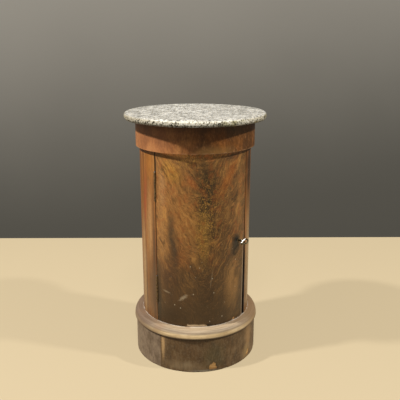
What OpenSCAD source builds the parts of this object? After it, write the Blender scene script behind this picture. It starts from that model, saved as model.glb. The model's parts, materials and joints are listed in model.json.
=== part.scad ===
// Bedside pot cupboard: a round, veneered drum cupboard with a marble top and a curved door.
// Millimetres. The origin is on the floor under the drum's centre, +Z is up, and the middle of
// the door faces -Y. Azimuths are degrees from the door's centre line, positive to the right of
// somebody who stands in front of the door.

/* [Overall] */
// Height from the floor to the top of the marble
total_h = 750; // [700:5:800]
// Radius of the drum, over its veneer
body_r = 165.5; // [155:0.5:175]
// Thickness of the veneer
veneer_t = 1; // [0.8:0.1:1.4]

/* [Marble top] */
// Distance by which the marble overhangs the frieze
marble_overhang = 32; // [18:1:38]
// Thickness of the marble disc
marble_t = 20; // [18:1:24]
// Round on the upper edge of the marble
marble_upper_round = 8.5; // [4:0.5:9]
// Round on the lower edge of the marble
marble_lower_round = 8; // [4:0.5:8.5]

/* [Frieze] */
// Distance by which the frieze projects from the drum
frieze_projection = 10.5; // [8.5:0.5:18]
// Height of the frieze, with the top board that it hides
frieze_h = 76; // [60:1:90]
// Width of the frieze's bricks, from inside to outside
frieze_brick_w = 26; // [22:1:28]
// Thickness of the board under the marble
top_board_t = 16; // [12:1:20]
// Bricks in each course of the frieze and of the plinth
bricks = 8; // [6:1:12]

/* [Drum] */
// Thickness of the staves
stave_t = 18; // [15:0.5:20]
// Staves in the fixed part of the drum
carcass_staves = 8; // [6:1:9]
// Width of each solid stile beside the door
stile_w = 26; // [22:1:32]
// Height of the shelf's top face over the drum's floor
shelf_height = 310; // [305:1:330]
// Thickness of the shelf
shelf_t = 16; // [12:1:18]
// Distance from the inside of the door to the shelf's front edge
shelf_setback = 10; // [6:1:20]
// Height of the bearers under the shelf
bearer_h = 14; // [10:1:20]
// Width of the bearers under the shelf
bearer_w = 10; // [8:1:14]
// Length of the bearers, along the drum's inner side
bearer_l = 112; // [80:1:140]

/* [Plinth] */
// Height of the plinth, from the floor to the moulding
plinth_h = 110; // [95:1:120]
// Distance by which the plinth projects from the drum
plinth_projection = 23.5; // [20:0.5:26]
// Width of the plinth's bricks, from inside to outside
plinth_brick_w = 36; // [30:1:40]
// Height of the moulding and of the base board inside it
base_t = 26; // [22:1:30]
// Distance by which the moulding projects from the plinth
moulding_projection = 5; // [4:0.5:10]
// Width of the moulding's round outer part
moulding_round_w = 13.5; // [9:0.5:14]
// Fall of the moulding's flat upper face
moulding_fall = 1.5; // [0.5:0.1:2.5]
// Distance from the drum's surface in to the base board's edge
base_board_inset = 5.5; // [5.5:0.5:10]
// Side of the glue blocks in the plinth's corner
glue_block = 34; // [26:1:40]

/* [Door] */
// Azimuth of the hinge pins, left of the door's centre
hinge_az = 52.3; // [46:0.1:54]
// Azimuth of the lock stile's edge, right of the door's centre
lock_az = 53.2; // [50:0.1:55]
// Staves in the door
door_staves = 4; // [3:1:5]
// Width of the solid edge strips of the door
door_edge_w = 16; // [15:0.5:18]
// Gap between the door and the hinge stile
hinge_gap = 2; // [1.6:0.1:2.4]
// Gap over the door
door_top_gap = 1.2; // [0.8:0.1:2]
// Gap under the door
door_bottom_gap = 1.8; // [0.8:0.1:2.4]
// Gap at the lock stile, at the top of the door
lock_gap_top = 2.2; // [1.8:0.1:4]
// Gap at the lock stile, at the foot of the sagging door
lock_gap_bottom = 10.5; // [5:0.5:10.5]
// Clearance between the door and its stops
stop_gap = 0.3; // [0.3:0.05:0.6]
// Width of the door stop strips, half of it behind the door
stop_w = 24; // [24:1:26]
// Thickness of the door stop strips
stop_t = 8; // [6:0.5:10]

/* [Hinges] */
// Height of a hinge
hinge_h = 84; // [70:1:96]
// Distance from the door's ends to the centre of the nearer hinge
hinge_inset = 101; // [80:1:120]
// Radius of the hinge knuckles
knuckle_r = 3.5; // [3:0.1:4]
// Distance of the pin's centre outside the drum's surface
pin_offset = 0.5; // [0.3:0.1:0.8]
// Radius of the hinge pin
pin_r = 1.5; // [1.2:0.1:1.8]
// Thickness of a leaf
leaf_t = 2; // [1.5:0.1:2.4]
// Width of a leaf, from the pin's centre
leaf_w = 17; // [15:0.5:18]
// Length of the hinge screws under the leaf
screw_l = 11; // [8:0.5:12]
// Radius of the screws' shanks
screw_r = 1.4; // [1.2:0.1:1.6]
// Radius of the screws' heads
screw_head_r = 2.8; // [2.4:0.1:3]
// Distance from a leaf's end to its outer screw
screw_end = 15; // [12:0.5:18]

/* [Lock] */
// Azimuth of the keyhole, right of the door's centre
key_az = 40.5; // [39.5:0.1:41]
// Height of the key over the drum's floor
key_height = 251; // [240:1:262]
// Angle of the key's bow over the horizontal, as the key stands
key_tilt = 20; // [10:1:40]
// Travel of the bolt in half a turn of the key
bolt_throw = 10; // [8:0.5:11]
// Height of the bolt
bolt_h = 12; // [10:0.5:13]
// Thickness of the bolt
bolt_t = 5; // [4:0.5:6]
// Radius of the key's stem
stem_r = 2.8; // [2.5:0.1:3]
// Reach of the key's bit from the stem's centre
bit_reach = 7.5; // [6.5:0.1:8]
// Length of the key's stem outside the door
stem_out = 15.5; // [13:0.5:20]
// Width of the key's bow
bow_w = 26; // [20:0.5:28]
// Length of the key's bow
bow_l = 20; // [16:0.5:22]
// Thickness of the bow's wire
bow_wire = 4; // [3:0.1:4.5]
// Height of the collar between the key's stem and bow
collar_h = 2.5; // [2:0.1:3.5]
// Distance by which the collar projects from the stem
collar_projection = 1; // [0.6:0.1:1.4]

/* [Fit] */
// Clearance of pins in their bores
pin_clearance = 0.05; // [0.03:0.01:0.1]
// Clearance round parts that slide or turn in a slot
slide_clearance = 0.4; // [0.3:0.05:0.6]
// Glue line between neighbouring bricks and moulding pieces
glue_line = 0.1; // [0.05:0.05:0.2]

/* [Hidden] */
$fn = 120;
EPS = 0.01;

// Levels of the drum
body_z = plinth_h + base_t;
marble_z = total_h - marble_t;
frieze_z = marble_z - frieze_h;
top_board_z = marble_z - top_board_t;
body_h = frieze_z - body_z;
shelf_z = body_z + shelf_height - shelf_t;

// Radii, from the drum outwards
core_r = body_r - veneer_t;
inner_r = core_r - stave_t;
base_board_r = body_r - base_board_inset;
frieze_r = body_r + frieze_projection;
frieze_core_r = frieze_r - veneer_t;
marble_r = frieze_r + marble_overhang;
plinth_r = body_r + plinth_projection;
plinth_core_r = plinth_r - veneer_t;
moulding_r = plinth_r + moulding_projection;
moulding_turn = 0.25;

// The door's outline
hinge_gap_az = asin(hinge_gap / 2 / body_r);
hinge_stile_az = hinge_az + hinge_gap_az;
door_left_az = hinge_gap_az - hinge_az;
door_right_az = lock_az - arc_az(lock_gap_top, body_r);
door_z = body_z + door_bottom_gap;
door_h = frieze_z - door_top_gap - door_z;
door_inner_r = inner_r + stop_gap;
door_lean = atan((lock_gap_bottom - lock_gap_top) / door_h);
door_edge_az = arc_az(door_edge_w, body_r);
stile_az = arc_az(stile_w, body_r);

// Hinges
pin_centre_r = body_r + pin_offset;
leaf_gap = 0.3;
knuckles = 5;
knuckle_h = hinge_h / knuckles;
knuckle_gap = 0.2;
pin_head_r = knuckle_r - 0.7;
pin_head_h = 1.6;
pin_head_taper = 0.8;
screws_per_leaf = 3;
screw_pitch = (hinge_h - 2 * screw_end) / (screws_per_leaf - 1);
lower_hinge_z = door_z + hinge_inset;
upper_hinge_z = door_z + door_h - hinge_inset;

// Lock, in the keyhole's own frame: x runs round the drum, -y points out of the door
key_z = body_z + key_height;
bolt_rise = 2;
bolt_z = key_z + bolt_rise;
bolt_depth = 18;
bolt_n = body_r - bolt_depth;
half_turn = 180;
rest_turn = 90 - key_tilt;
rest_throw = bolt_throw * rest_turn / half_turn;
bolt_level = bolt_z + bolt_h / 2;
gap_at_bolt = lock_gap_top + (door_z + door_h - bolt_level) * tan(door_lean);
bolt_edge_az = lock_az - arc_az(gap_at_bolt, body_r) - key_az;
bolt_inset = 0.8;
bolt_tip = (bolt_n + bolt_t / 2) * tan(bolt_edge_az) - bolt_inset + rest_throw;
sweep_r = bit_reach + slide_clearance;
talon_left = -sweep_r - (bolt_throw - rest_throw);
talon_right = sweep_r + rest_throw;
talon_w = 4;
bolt_tail = talon_left - talon_w;
spring_sag = 3;
spring_t = 0.5;
case_wall = 1.8;
case_x0 = bolt_tail - rest_throw - slide_clearance - case_wall;
case_x1 = talon_right + talon_w + 1;
case_z0 = key_z - bit_reach - slide_clearance - case_wall;
case_z1 = bolt_z + bolt_h + slide_clearance + spring_sag + case_wall;
case_n1 = bolt_n + bolt_t + slide_clearance + case_wall;
plate_t = 1.6;
plate_lip = 7;
plate_z0 = case_z0 - plate_lip;
plate_z1 = case_z1 + plate_lip;
plate_n = sqrt(pow(door_inner_r, 2) - pow(case_x0, 2));
lock_screw_inset = 3.4;
lock_screw_l = 9;
bit_n = bolt_n - 0.5;
bit_w = bolt_t + 0.5;
bit_t = 2.4;
drill_pin_r = 1.3;
stem_bore_l = case_n1 - plate_n - 1;
stem_n0 = plate_n + slide_clearance;
stem_n1 = body_r + stem_out;
keyhole_r = stem_r + slide_clearance;
keyhole_slot_w = bit_t + 2 * slide_clearance;
liner_t = 1.4;
liner_depth = 4;
strike_t = 1.2;
strike_lip = 12;
strike_h = bolt_h + 2 * strike_lip;
strike_n0 = inner_r + 3;
strike_n1 = core_r - 2;

// Wear on the veneers: outlines of lost pieces, as [along the face, height over the lower edge]
chip_front = [[-12, 4], [-4, 3], [6, 5], [13, 4], [12, 13], [8, 17], [9, 25], [1, 30], [-5, 24], [-9, 25], [-13, 15]];
chip_right = [[-8, 9], [-2, 7], [6, 12], [8, 19], [5, 27], [0, 25], [-4, 18], [-8, 15]];
chip_back = [[-15, 0], [11, 0], [8, 5], [2, 9], [-5, 7], [-11, 8]];
chip_front_az = 7;
chip_right_az = 49;
chip_back_az = 190;
nick = [[-9, -1], [9, -1], [6, 2.5], [1, 4], [-5, 2]];
nick_azimuths = [-24, -7, 19, 68, 104, 151, 205, 262, 311];
veneer_joint_az = -42;
veneer_joint_w = 0.7;
veneer_joint_foot = 5;
door_foot = [[-31, -1], [30, -1], [31, 3], [20, 7], [6, 6.5], [-8, 8], [-22, 6.5], [-29, 8.5]];
door_foot_az = -7.7;
door_corner = [[-6, -1], [7, -1], [5, 5], [1, 9], [-3, 7], [-5, 3]];
door_corner_az = 34.6;

function carcass_stave_name(i) = str("carcass_stave_", i);
function bearer_name(i) = str("shelf_bearer_", i);
function glue_block_name(i) = str("glue_block_", i);
function door_stave_name(i) = str("door_stave_", i);

// Angle that an arc of a given length spans
function arc_az(length, r) = length / r * 180 / PI;

// Places its children at an azimuth, with -Y pointing outwards
module at_azimuth(az) {
    rotate([0, 0, az])
        children();
}

// Ring sector between two azimuths
module sector(r0, r1, z, h, az0, az1) {
    rotate([0, 0, az0 - 90])
        rotate_extrude(angle = az1 - az0)
            translate([r0, z])
                square([r1 - r0, h]);
}

// Box in the frame of at_azimuth: along the surface, from n0 to n1 outwards, and up
module block(x0, x1, n0, n1, z0, z1) {
    translate([x0, -n1, z0])
        cube([x1 - x0, n1 - n0, z1 - z0]);
}

// Extrudes a flat outline, drawn as [along the face, height], from n0 to n1 outwards
module outward(n0, n1) {
    translate([0, -n0, 0])
        rotate([90, 0, 0])
            linear_extrude(n1 - n0)
                children();
}

// A course of equal bricks, turned by a share of one brick
module brick_course(r0, r1, z, h, turn) {
    step = 360 / bricks;
    joint = arc_az(glue_line, r1);
    for (i = [0:bricks - 1])
        sector(r0, r1, z, h, (i + turn) * step, (i + turn + 1) * step - joint);
}

// Countersunk screw along +X, with its head's face at the origin
module screw(length) {
    rotate([0, 90, 0]) {
        cylinder(r1 = screw_head_r, r2 = screw_r, h = screw_head_r - screw_r, $fn = 32);
        cylinder(r = screw_r, h = length, $fn = 32);
    }
}

// ---- Marble top and frieze ----

module marble_profile() {
    r = marble_r;
    h = marble_t;
    translate([0, marble_lower_round])
        square([r, h - marble_lower_round - marble_upper_round]);
    translate([r - marble_upper_round, h - marble_upper_round])
        circle(r = marble_upper_round);
    translate([r - marble_lower_round, marble_lower_round])
        circle(r = marble_lower_round);
    square([r - marble_lower_round, h / 2]);
    translate([0, h / 2])
        square([r - marble_upper_round, h / 2]);
}

module marble_top() {
    color("darkgray")
        translate([0, 0, marble_z])
            rotate_extrude()
                intersection() {
                    marble_profile();
                    square([marble_r + 1, marble_t]);
                }
}

module top_board() {
    color("tan")
        translate([0, 0, top_board_z])
            cylinder(r = frieze_core_r, h = top_board_t);
}

module frieze_course(level) {
    h = (top_board_z - frieze_z) / 2;
    color("tan")
        brick_course(frieze_core_r - frieze_brick_w, frieze_core_r, frieze_z + level * h, h, level / 2);
}

module frieze_course_lower() {
    frieze_course(0);
}

module frieze_course_upper() {
    frieze_course(1);
}

module frieze_veneer() {
    color("sienna")
        translate([0, 0, frieze_z])
            rotate_extrude()
                translate([frieze_core_r, 0])
                    square([veneer_t, frieze_h]);
}

// ---- Drum ----

module carcass_stave(i) {
    az0 = lock_az + stile_az;
    step = (360 - hinge_stile_az - stile_az - az0) / carcass_staves;
    color("burlywood")
        sector(inner_r, core_r, body_z, body_h, az0 + (i - 1) * step, az0 + i * step);
}

module hinge_stile() {
    color("saddlebrown")
        difference() {
            sector(inner_r, core_r, body_z, body_h, -hinge_stile_az - stile_az, -hinge_stile_az);
            hinge_cuts();
            frame_leaf_screws();
        }
}

module lock_stile() {
    color("saddlebrown")
        difference() {
            sector(inner_r, core_r, body_z, body_h, lock_az, lock_az + stile_az);
            strike_recess();
            bolt_channel();
            strike_screws();
        }
}

module carcass_veneer() {
    color("peru")
        difference() {
            sector(core_r, body_r, body_z, body_h, lock_az, 360 - hinge_stile_az);
            hinge_cuts();
        }
}

module base_board() {
    color("burlywood")
        translate([0, 0, plinth_h])
            cylinder(r = base_board_r, h = base_t);
}

module shelf() {
    front_az0 = -hinge_stile_az;
    color("burlywood")
        difference() {
            translate([0, 0, shelf_z])
                cylinder(r = inner_r, h = shelf_t);
            sector(inner_r - shelf_setback, body_r, shelf_z - 1, shelf_t + 2, front_az0, lock_az);
        }
}

// The bearers sit right, behind and left
module shelf_bearer(i) {
    half = arc_az(bearer_l / 2, inner_r);
    centre = 90 * i;
    color("burlywood")
        sector(inner_r - bearer_w, inner_r, shelf_z - bearer_h, bearer_h, centre - half, centre + half);
}

module door_stop(z0, z1) {
    half = arc_az(stop_w / 2, inner_r);
    color("saddlebrown")
        sector(inner_r - stop_t, inner_r, z0, z1 - z0, lock_az - half, lock_az + half);
}

// The shelf parts the two stops
module door_stop_lower() {
    door_stop(body_z, shelf_z);
}

module door_stop_upper() {
    door_stop(shelf_z + shelf_t, frieze_z);
}

// ---- Plinth ----

module plinth_course(level) {
    h = plinth_h / 2;
    color("tan")
        brick_course(plinth_core_r - plinth_brick_w, plinth_core_r, level * h, h, level / 2);
}

module plinth_course_lower() {
    plinth_course(0);
}

module plinth_course_upper() {
    plinth_course(1);
}

// Takes an outline out of a veneer of a given radius, over its lower edge
module veneer_loss(r, z, az, outline) {
    depth = 6;
    at_azimuth(az)
        translate([0, 0, z])
            outward(r - depth, r + 1)
                polygon(outline);
}

module plinth_veneer() {
    color("dimgray")
        difference() {
            rotate_extrude()
                translate([plinth_core_r, 0])
                    square([veneer_t, plinth_h]);
            veneer_loss(plinth_r, 0, chip_front_az, chip_front);
            veneer_loss(plinth_r, 0, chip_right_az, chip_right);
            veneer_loss(plinth_r, 0, chip_back_az, chip_back);
            for (az = nick_azimuths)
                veneer_loss(plinth_r, 0, az, nick);
            at_azimuth(veneer_joint_az)
                block(0, veneer_joint_w, plinth_core_r - 1, plinth_r + 1, veneer_joint_foot, plinth_h + 1);
        }
}

// Flat upper face that falls a little, then a quarter of an ellipse down to the lower arris
module moulding_profile() {
    steps = 12;
    arris = 1;
    round_r = moulding_r - moulding_round_w;
    round_h = base_t - moulding_fall - arris;
    round_points = [for (i = [steps:-1:0])
        [round_r + moulding_round_w * cos(90 * i / steps), arris + round_h * sin(90 * i / steps)]];
    polygon(concat(
        [[base_board_r, 0], [base_board_r, base_t], [body_r, base_t]],
        round_points,
        [[moulding_r - arris, 0]]
    ));
}

module plinth_moulding() {
    step = 360 / bricks;
    color("rosybrown")
        for (i = [0:bricks - 1])
            rotate([0, 0, (i + moulding_turn) * step])
                translate([0, 0, plinth_h])
                    rotate_extrude(angle = step - arc_az(glue_line, moulding_r))
                        moulding_profile();
}

// Blocks in the corner between the base board and the plinth
module glue_block(i) {
    r = plinth_core_r - plinth_brick_w;
    color("tan")
        intersection() {
            at_azimuth(90 * i)
                block(-glue_block / 2, glue_block / 2, r - glue_block, r + 1, plinth_h - glue_block, plinth_h);
            cylinder(r = r, h = plinth_h);
        }
}

// ---- Hinges: +X points to the door and +Y into the drum ----

module hinge_frame(z) {
    at_azimuth(-hinge_az)
        translate([0, -pin_centre_r, z])
            children();
}

module knuckle(i) {
    translate([0, 0, i * knuckle_h - hinge_h / 2 + knuckle_gap / 2])
        cylinder(r = knuckle_r, h = knuckle_h - knuckle_gap);
}

// Room for the other leaf's knuckle
module knuckle_room(i) {
    translate([0, 0, i * knuckle_h - hinge_h / 2 - knuckle_gap / 2])
        cylinder(r = knuckle_r + slide_clearance, h = knuckle_h + knuckle_gap);
}

// Leaf on the +X side, whose knuckles start at the given one and take every second place
module leaf(first) {
    difference() {
        union() {
            difference() {
                translate([leaf_gap / 2, 0, -hinge_h / 2])
                    cube([leaf_t, leaf_w, hinge_h]);
                for (i = [1 - first:2:knuckles - 1])
                    knuckle_room(i);
            }
            for (i = [first:2:knuckles - 1])
                knuckle(i);
        }
        cylinder(r = pin_r + pin_clearance, h = hinge_h + 2, center = true);
        leaf_screws();
    }
}

module leaf_screws() {
    for (i = [0:screws_per_leaf - 1])
        translate([leaf_gap / 2, (leaf_w + knuckle_r) / 2, screw_end - hinge_h / 2 + i * screw_pitch])
            screw(leaf_t + screw_l);
}

module hinge_pin() {
    cylinder(r = pin_r, h = hinge_h, center = true);
    for (side = [0, 1])
        mirror([0, 0, side])
            translate([0, 0, hinge_h / 2])
                cylinder(r1 = pin_head_r, r2 = pin_head_r - pin_head_taper, h = pin_head_h);
}

// Room in the wood for both leaves and their knuckles
module hinge_cuts() {
    reach = leaf_gap / 2 + leaf_t;
    for (z = [lower_hinge_z, upper_hinge_z])
        hinge_frame(z) {
            translate([-reach, 0, -hinge_h / 2])
                cube([2 * reach, leaf_w, hinge_h]);
            cylinder(r = knuckle_r + slide_clearance, h = hinge_h + 2 * pin_head_h + 1, center = true);
        }
}

module frame_leaf_screws() {
    for (z = [lower_hinge_z, upper_hinge_z])
        hinge_frame(z)
            mirror([1, 0, 0])
                leaf_screws();
}

module door_leaf_screws() {
    for (z = [lower_hinge_z, upper_hinge_z])
        hinge_frame(z)
            leaf_screws();
}

module frame_leaf(z) {
    color("darkgoldenrod")
        hinge_frame(z)
            mirror([1, 0, 0])
                leaf(0);
}

module door_leaf(z) {
    color("darkgoldenrod")
        hinge_frame(z)
            leaf(1);
}

module lower_hinge_frame_leaf() {
    frame_leaf(lower_hinge_z);
}

module upper_hinge_frame_leaf() {
    frame_leaf(upper_hinge_z);
}

module lower_hinge_door_leaf() {
    door_leaf(lower_hinge_z);
}

module upper_hinge_door_leaf() {
    door_leaf(upper_hinge_z);
}

module lower_hinge_pin() {
    color("dimgray")
        hinge_frame(lower_hinge_z)
            hinge_pin();
}

module upper_hinge_pin() {
    color("dimgray")
        hinge_frame(upper_hinge_z)
            hinge_pin();
}

module hinge_frame_screws() {
    color("gray")
        frame_leaf_screws();
}

module hinge_door_screws() {
    color("gray")
        door_leaf_screws();
}

// ---- Door ----

// Everything right of the door's leaning lock edge
module beyond_lock_edge() {
    margin = 5;
    at_azimuth(door_right_az)
        translate([0, 0, door_z + door_h])
            rotate([0, door_lean, 0])
                translate([0, -body_r - margin, -2 * door_h])
                    cube([door_edge_w + stave_t, veneer_t + stave_t + 2 * margin, 3 * door_h]);
}

module door_stave(i) {
    az0 = door_left_az + door_edge_az;
    az1 = door_right_az - door_edge_az;
    step = (az1 - az0) / door_staves;
    color("burlywood")
        difference() {
            sector(door_inner_r, core_r, door_z, door_h, az0 + (i - 1) * step, az0 + i * step);
            lock_cuts();
        }
}

module door_hinge_edge() {
    color("saddlebrown")
        difference() {
            sector(door_inner_r, core_r, door_z, door_h, door_left_az, door_left_az + door_edge_az);
            hinge_cuts();
            door_leaf_screws();
        }
}

module door_lock_edge() {
    color("saddlebrown")
        difference() {
            sector(door_inner_r, core_r, door_z, door_h, door_right_az - door_edge_az, door_right_az + 1);
            beyond_lock_edge();
            lock_cuts();
        }
}

module door_veneer() {
    color("sienna")
        difference() {
            sector(core_r, body_r, door_z, door_h, door_left_az, door_right_az + 1);
            beyond_lock_edge();
            hinge_cuts();
            lock_cuts();
            veneer_loss(body_r, door_z, door_foot_az, door_foot);
            veneer_loss(body_r, door_z, door_corner_az, door_corner);
        }
}

// ---- Lock ----

module lock_frame() {
    at_azimuth(key_az)
        children();
}

// Flat outline of the keyhole, grown by a margin
module keyhole_outline(margin) {
    translate([0, key_z])
        circle(r = keyhole_r + margin);
    translate([-keyhole_slot_w / 2 - margin, key_z - bit_reach - slide_clearance - margin])
        square([keyhole_slot_w + 2 * margin, bit_reach + slide_clearance + margin]);
}

module keyhole_cut() {
    outward(case_n1 - case_wall - 1, body_r + 1)
        keyhole_outline(0);
}

module case_box() {
    block(case_x0, case_x1, plate_n, case_n1, case_z0, case_z1);
}

// The bolt's path, with clearance, from inside the case to the end of its throw
module bolt_channel() {
    c = slide_clearance;
    lock_frame()
        block(case_x1 - 5, bolt_tip + bolt_throw - rest_throw + 1,
            bolt_n - c, bolt_n + bolt_t + c, bolt_z - c, bolt_z + bolt_h + c);
}

// Everything that the lock takes out of the door
module lock_cuts() {
    lock_frame() {
        case_box();
        keyhole_cut();
        outward(body_r - liner_depth, body_r + 1)
            keyhole_outline(liner_t);
    }
    bolt_channel();
    lock_screws();
}

module lock_case() {
    cavity_x1 = case_x1 - case_wall;
    color("silver")
        difference() {
            lock_frame()
                case_box();
            lock_frame() {
                block(case_x0 + case_wall, cavity_x1, plate_n - 1, case_n1 - case_wall,
                    case_z0 + case_wall, case_z1 - case_wall);
                keyhole_cut();
            }
            bolt_channel();
        }
}

module lock_plate() {
    color("silver")
        difference() {
            lock_frame()
                block(case_x0, case_x1, plate_n - plate_t, plate_n, plate_z0, plate_z1);
            drill_pin();
            lock_screws();
        }
}

// Screws through the plate's lips into the door's back
module lock_screws() {
    color("gray")
        lock_frame()
            for (x = [case_x0 + lock_screw_inset, case_x1 - lock_screw_inset])
                for (z = [plate_z0 + lock_screw_inset, plate_z1 - lock_screw_inset])
                    translate([x, -plate_n + plate_t, z])
                        rotate([0, 0, -90])
                            screw(lock_screw_l);
}

// A bowed strip that rests on the bolt's upper edge, with its ends under the case's top wall
module bolt_spring() {
    half = (case_x1 - case_x0) / 2 - case_wall - 3;
    rise = spring_sag - spring_t;
    bow_r = (half * half + rise * rise) / (2 * rise);
    low_z = bolt_z + bolt_h + slide_clearance;
    color("silver")
        lock_frame()
            translate([(case_x0 + case_x1) / 2, 0, low_z + bow_r])
                outward(bolt_n, bolt_n + bolt_t)
                    intersection() {
                        difference() {
                            circle(r = bow_r, $fn = 240);
                            circle(r = bow_r - spring_t, $fn = 240);
                        }
                        translate([-half, -bow_r])
                            square([2 * half, rise]);
                    }
}

module drill_pin() {
    color("silver")
        lock_frame()
            translate([0, -plate_n + plate_t, key_z])
                rotate([90, 0, 0])
                    cylinder(r = drill_pin_r, h = stem_bore_l, $fn = 48);
}

module keyhole_liner() {
    color("darkgoldenrod")
        intersection() {
            lock_frame()
                outward(body_r - liner_depth, body_r + 1)
                    difference() {
                        keyhole_outline(liner_t);
                        keyhole_outline(0);
                    }
            cylinder(r = body_r, h = total_h, $fn = 720);
        }
}

// A flat bar with a window in which the key's bit turns
module lock_bolt() {
    color("silver")
        lock_frame()
            difference() {
                block(bolt_tail, bolt_tip, bolt_n, bolt_n + bolt_t, bolt_z, bolt_z + bolt_h);
                block(talon_left, talon_right, bolt_n - 1, bolt_n + bolt_t + 1, bolt_z - 1, key_z + sweep_r);
            }
}

module strike_recess() {
    at_azimuth(lock_az)
        block(-EPS, strike_t, strike_n0, strike_n1, bolt_level - strike_h / 2, bolt_level + strike_h / 2);
}

module strike_plate() {
    color("darkgoldenrod")
        difference() {
            at_azimuth(lock_az)
                block(0, strike_t, strike_n0, strike_n1, bolt_level - strike_h / 2, bolt_level + strike_h / 2);
            bolt_channel();
            strike_screws();
        }
}

module strike_screws() {
    color("gray")
        at_azimuth(lock_az)
            for (side = [-1, 1])
                translate([0, -(strike_n0 + strike_n1) / 2, bolt_level + side * (bolt_h + strike_lip) / 2])
                    screw(screw_l);
}

// A ring in the XY plane, with a straight side along X through the origin and a round side towards -Y
module key_bow(width, length, wire) {
    half = (width - wire) / 2;
    depth = length - wire;
    ring_r = (half * half + depth * depth) / (2 * depth);
    open_angle = 2 * acos((depth - ring_r) / ring_r);
    corner_swell = 0.2;
    rotate([0, 90, 0])
        cylinder(r = wire / 2, h = 2 * half, center = true, $fn = 28);
    for (side = [-1, 1])
        translate([side * half, 0, 0])
            sphere(r = wire / 2 + corner_swell, $fn = 28);
    translate([0, ring_r - depth, 0])
        rotate([0, 0, 90 + open_angle / 2])
            rotate_extrude(angle = 360 - open_angle, $fn = 48)
                translate([ring_r, 0])
                    circle(r = wire / 2, $fn = 14);
}

// The key lies along -Y, with its bow and bit in the XY plane, and is then turned and placed
module key() {
    color("lightgray")
        lock_frame()
            translate([0, 0, key_z])
                rotate([0, -key_tilt, 0]) {
                    difference() {
                        union() {
                            rotate([90, 0, 0])
                                translate([0, 0, stem_n0])
                                    cylinder(r = stem_r, h = stem_n1 - stem_n0);
                            block(-bit_reach, 0, bit_n, bit_n + bit_w, -bit_t / 2, bit_t / 2);
                            rotate([90, 0, 0])
                                translate([0, 0, stem_n1 - 2 * collar_h])
                                    cylinder(r = stem_r + collar_projection, h = collar_h);
                        }
                        rotate([90, 0, 0])
                            translate([0, 0, stem_n0 - 1])
                                cylinder(r = drill_pin_r + pin_clearance, h = stem_bore_l + 1, $fn = 48);
                    }
                    translate([0, -stem_n1, 0])
                        key_bow(bow_w, bow_l, bow_wire);
                }
}

// ---- Output ----

marble_top();
top_board();
frieze_course_lower();
frieze_course_upper();
frieze_veneer();
for (i = [1:carcass_staves])
    carcass_stave(i);
hinge_stile();
lock_stile();
carcass_veneer();
base_board();
shelf();
for (i = [1:3])
    shelf_bearer(i);
door_stop_lower();
door_stop_upper();
plinth_course_lower();
plinth_course_upper();
plinth_veneer();
plinth_moulding();
for (i = [1:4])
    glue_block(i);
lower_hinge_frame_leaf();
lower_hinge_pin();
upper_hinge_frame_leaf();
upper_hinge_pin();
hinge_frame_screws();
strike_plate();
strike_screws();
for (i = [1:door_staves])
    door_stave(i);
door_hinge_edge();
door_lock_edge();
door_veneer();
lower_hinge_door_leaf();
upper_hinge_door_leaf();
hinge_door_screws();
lock_case();
lock_plate();
lock_screws();
drill_pin();
bolt_spring();
keyhole_liner();
lock_bolt();
key();
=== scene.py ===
"""Looks of a bedside pot cupboard: a round mahogany cupboard with a marble top and a curved door.

Metres. The origin is on the floor under the drum's centre, +Z is up, and the middle of the door faces
-Y. Azimuths are degrees from the door's centre line, positive to the right of somebody who stands in
front of the door. Colours are written as sRGB values from 0 to 255.
"""

import json
import math

import bpy
from mathutils import Matrix, Vector


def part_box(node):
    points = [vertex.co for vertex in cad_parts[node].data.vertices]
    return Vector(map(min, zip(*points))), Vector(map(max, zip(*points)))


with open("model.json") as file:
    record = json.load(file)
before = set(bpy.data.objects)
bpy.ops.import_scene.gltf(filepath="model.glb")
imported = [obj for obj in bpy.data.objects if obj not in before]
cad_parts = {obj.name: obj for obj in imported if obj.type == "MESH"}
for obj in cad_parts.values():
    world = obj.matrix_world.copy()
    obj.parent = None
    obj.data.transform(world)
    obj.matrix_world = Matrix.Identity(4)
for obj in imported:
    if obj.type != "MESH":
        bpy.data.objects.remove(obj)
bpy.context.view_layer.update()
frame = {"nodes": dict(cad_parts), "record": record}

# Radii and levels, from the frame
DRUM_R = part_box("carcass_veneer")[1].x
PLINTH_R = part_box("plinth_veneer")[1].x
FOOT_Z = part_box("door_veneer")[0].z
HEAD_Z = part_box("door_veneer")[1].z
FRIEZE_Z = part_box("frieze_veneer")[0].z
MARBLE_Z, TOP_Z = (corner.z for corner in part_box("marble_top"))
PLINTH_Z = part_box("plinth_veneer")[1].z

MM = 0.001

# Edges of the door: its hinge gap, and its leaning lock gap
HINGE_AZ = -51.9
LOCK_AZ = 53.2
LOCK_GAP_HEAD = 2.2 * MM
LOCK_GAP_FOOT = 10.5 * MM

# Heights between which the painted highlight and the painted shade beside the lock gap come in, downwards
LOCK_LIGHT_AND_SHADE = 0.42, 0.32

# The photograph's camera stood a little left of the door's centre line and looked down
VIEW_AZ = math.radians(-9)
VIEW_DISTANCE = 1.6535
VIEW_HEIGHT = 0.9451
VIEW_PITCH = math.radians(15.76)
VIEW_AIM = math.radians(0.49)
LENS_MM = 50.48
SENSOR_MM = 36.0

# Each noise of a material is shifted this much further, so that no two share a pattern
SEED_STEP = 7.31

# Sockets of the Mix node in its colour form
MIX_SHARE, MIX_A, MIX_B = 0, 6, 7
MIX_COLOUR = 2


def linear(value):
    """Linear light of one sRGB channel from 0 to 255."""
    share = value / 255
    return share / 12.92 if value < 11 else ((share + 0.055) / 1.055) ** 2.4


def srgb(red, green, blue):
    """The linear colour, with alpha, of an sRGB value."""
    return (linear(red), linear(green), linear(blue), 1.0)


def arc(azimuth, radius=DRUM_R):
    """Length along the drum from the door's centre line."""
    return math.radians(azimuth) * radius


# ---- Shader nodes ----


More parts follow.
